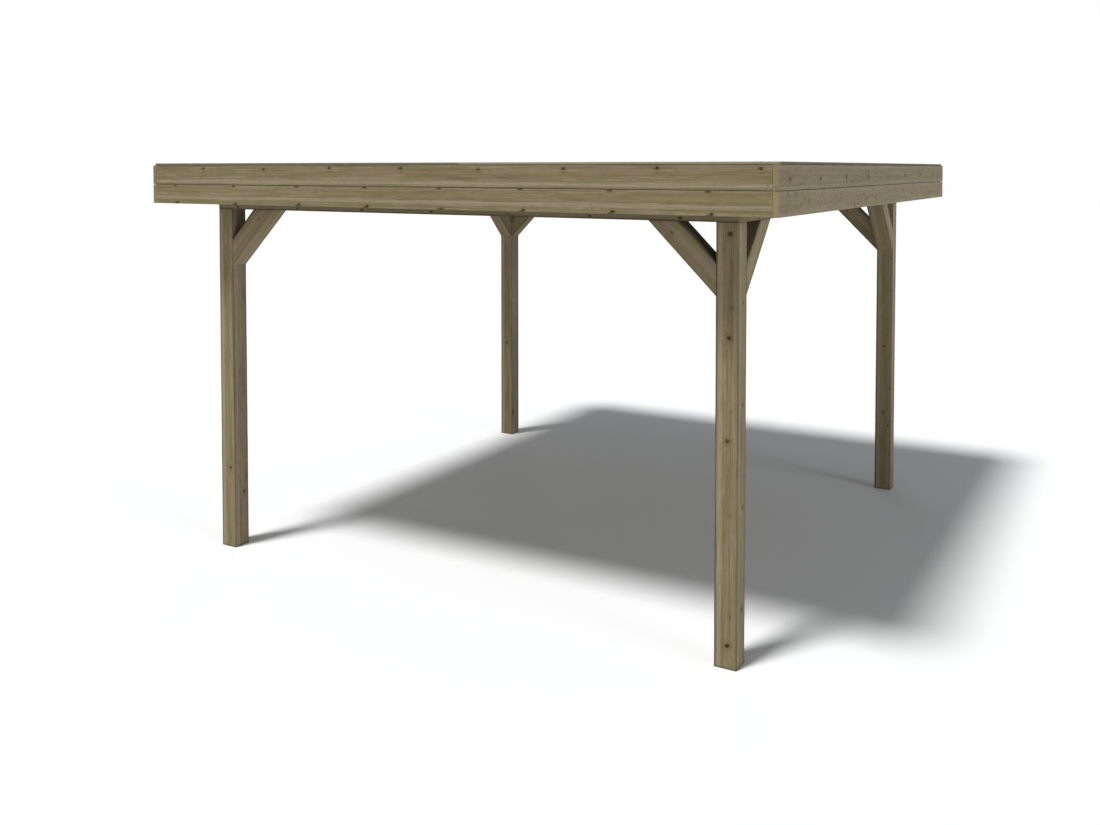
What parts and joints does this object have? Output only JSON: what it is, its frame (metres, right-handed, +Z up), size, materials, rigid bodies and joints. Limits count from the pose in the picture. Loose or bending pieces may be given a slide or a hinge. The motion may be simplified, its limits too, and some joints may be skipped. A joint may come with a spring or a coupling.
{
  "type": "wooden gazebo",
  "caption": "Open flat-roof timber gazebo: square posts with knee braces carry a ring of beams, joists, a boarded roof and a deep boarded fascia.",
  "frame": {"origin": "on the ground, at the centre of the plan", "axes": "+Z up; +X to the right along the front; the front faces -Y"},
  "size_m": [4.2, 4.156, 2.555],
  "materials": {
    "posts": "sawn, weathered",
    "beams": "sawn, weathered",
    "braces": "sawn, weathered",
    "joists": "planed",
    "fascia": "planed, weathered",
    "edge_battens": "planed, weathered grey",
    "deck": "planed",
    "felt": "matte"
  },
  "bodies": {
    "root": {"post_front_left": "posts", "post_front_right": "posts", "post_rear_left": "posts", "post_rear_right": "posts", "beam_front": "beams", "beam_rear": "beams", "beam_left": "beams", "beam_right": "beams", "brace_front_beam_left": "braces", "brace_front_beam_right": "braces", "brace_rear_beam_left": "braces", "brace_rear_beam_right": "braces", "brace_left_beam_front": "braces", "brace_left_beam_rear": "braces", "brace_right_beam_front": "braces", "brace_right_beam_rear": "braces", "rim_joist_left": "joists", "rim_joist_right": "joists", "joist_1": "joists", "joist_2": "joists", "joist_3": "joists", "joist_4": "joists", "joist_5": "joists", "joist_6": "joists", "joist_7": "joists", "fascia_front_lower": "fascia", "fascia_front_upper": "fascia", "fascia_rear_lower": "fascia", "fascia_rear_upper": "fascia", "fascia_left_lower": "fascia", "fascia_left_upper": "fascia", "fascia_right_lower": "fascia", "fascia_right_upper": "fascia", "trim_front_long": "edge_battens", "trim_front_short": "edge_battens", "trim_rear_long": "edge_battens", "trim_rear_short": "edge_battens", "trim_left": "edge_battens", "trim_right": "edge_battens", "roof_deck": "deck", "roof_felt": "felt"}
  },
  "joints": []
}
